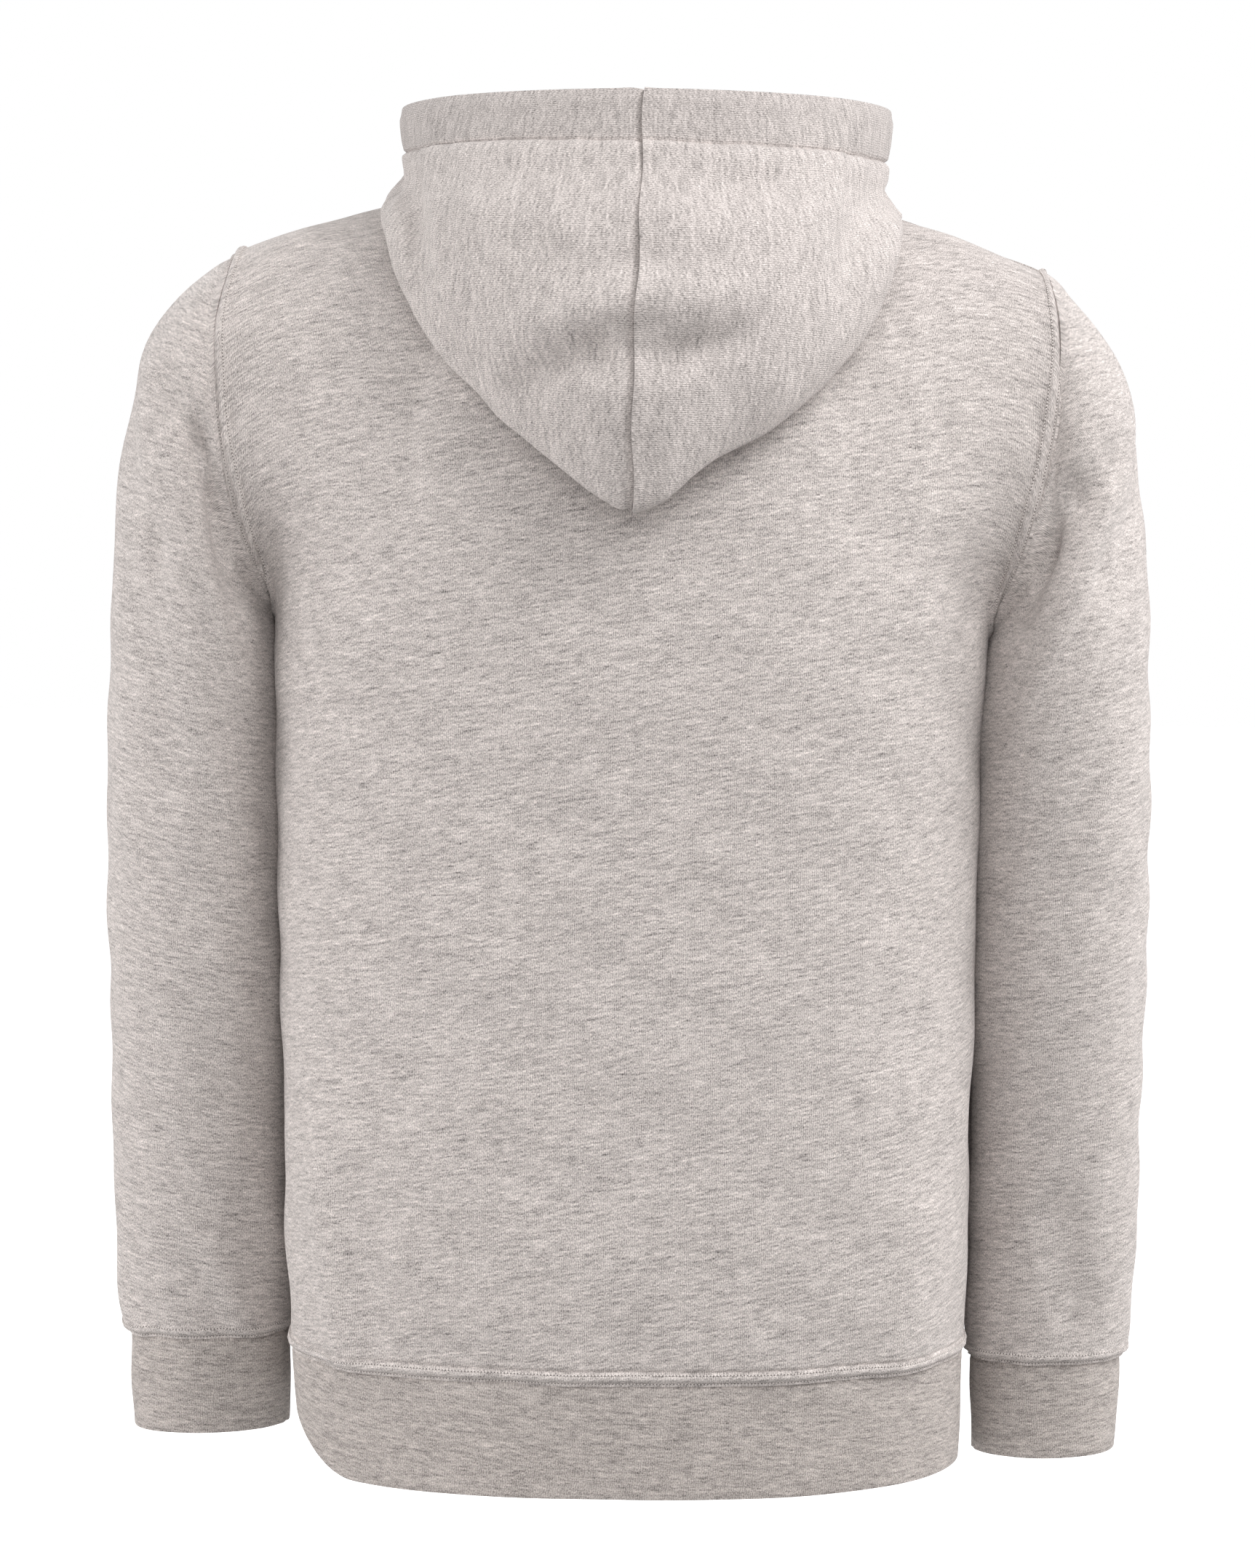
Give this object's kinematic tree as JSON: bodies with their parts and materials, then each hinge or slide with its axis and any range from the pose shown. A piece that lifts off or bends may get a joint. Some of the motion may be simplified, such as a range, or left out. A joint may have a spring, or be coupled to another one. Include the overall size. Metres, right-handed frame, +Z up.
{
  "type": "pullover hoodie",
  "caption": "Long-sleeved pullover of fleece in its hollow worn form, with ribbed cuffs and hem band and a two-part hood lying down the back.",
  "frame": {"origin": "middle of the neck opening, at the height of the shoulder seams' neck ends, where the garment hangs on the wearer's shoulders", "axes": "+Z up along the body, -Y to the garment's front, +Y to its back, +X to the wearer's left"},
  "size_m": [0.5826, 0.296, 0.7454],
  "materials": {
    "fleece": "brushed beige-grey heather fleece, matt",
    "hood_fleece": "brushed beige-grey heather fleece, matt, grain along the hood",
    "rib": "fine rib knit, beige-grey heather, matt"
  },
  "bodies": {
    "root": {"back_panel": "fleece", "front_panel": "fleece", "sleeve_left": "fleece", "sleeve_right": "fleece", "cuff_left": "rib", "cuff_right": "rib", "hem_band": "rib", "hood_left": "hood_fleece", "hood_right": "hood_fleece"}
  },
  "joints": []
}
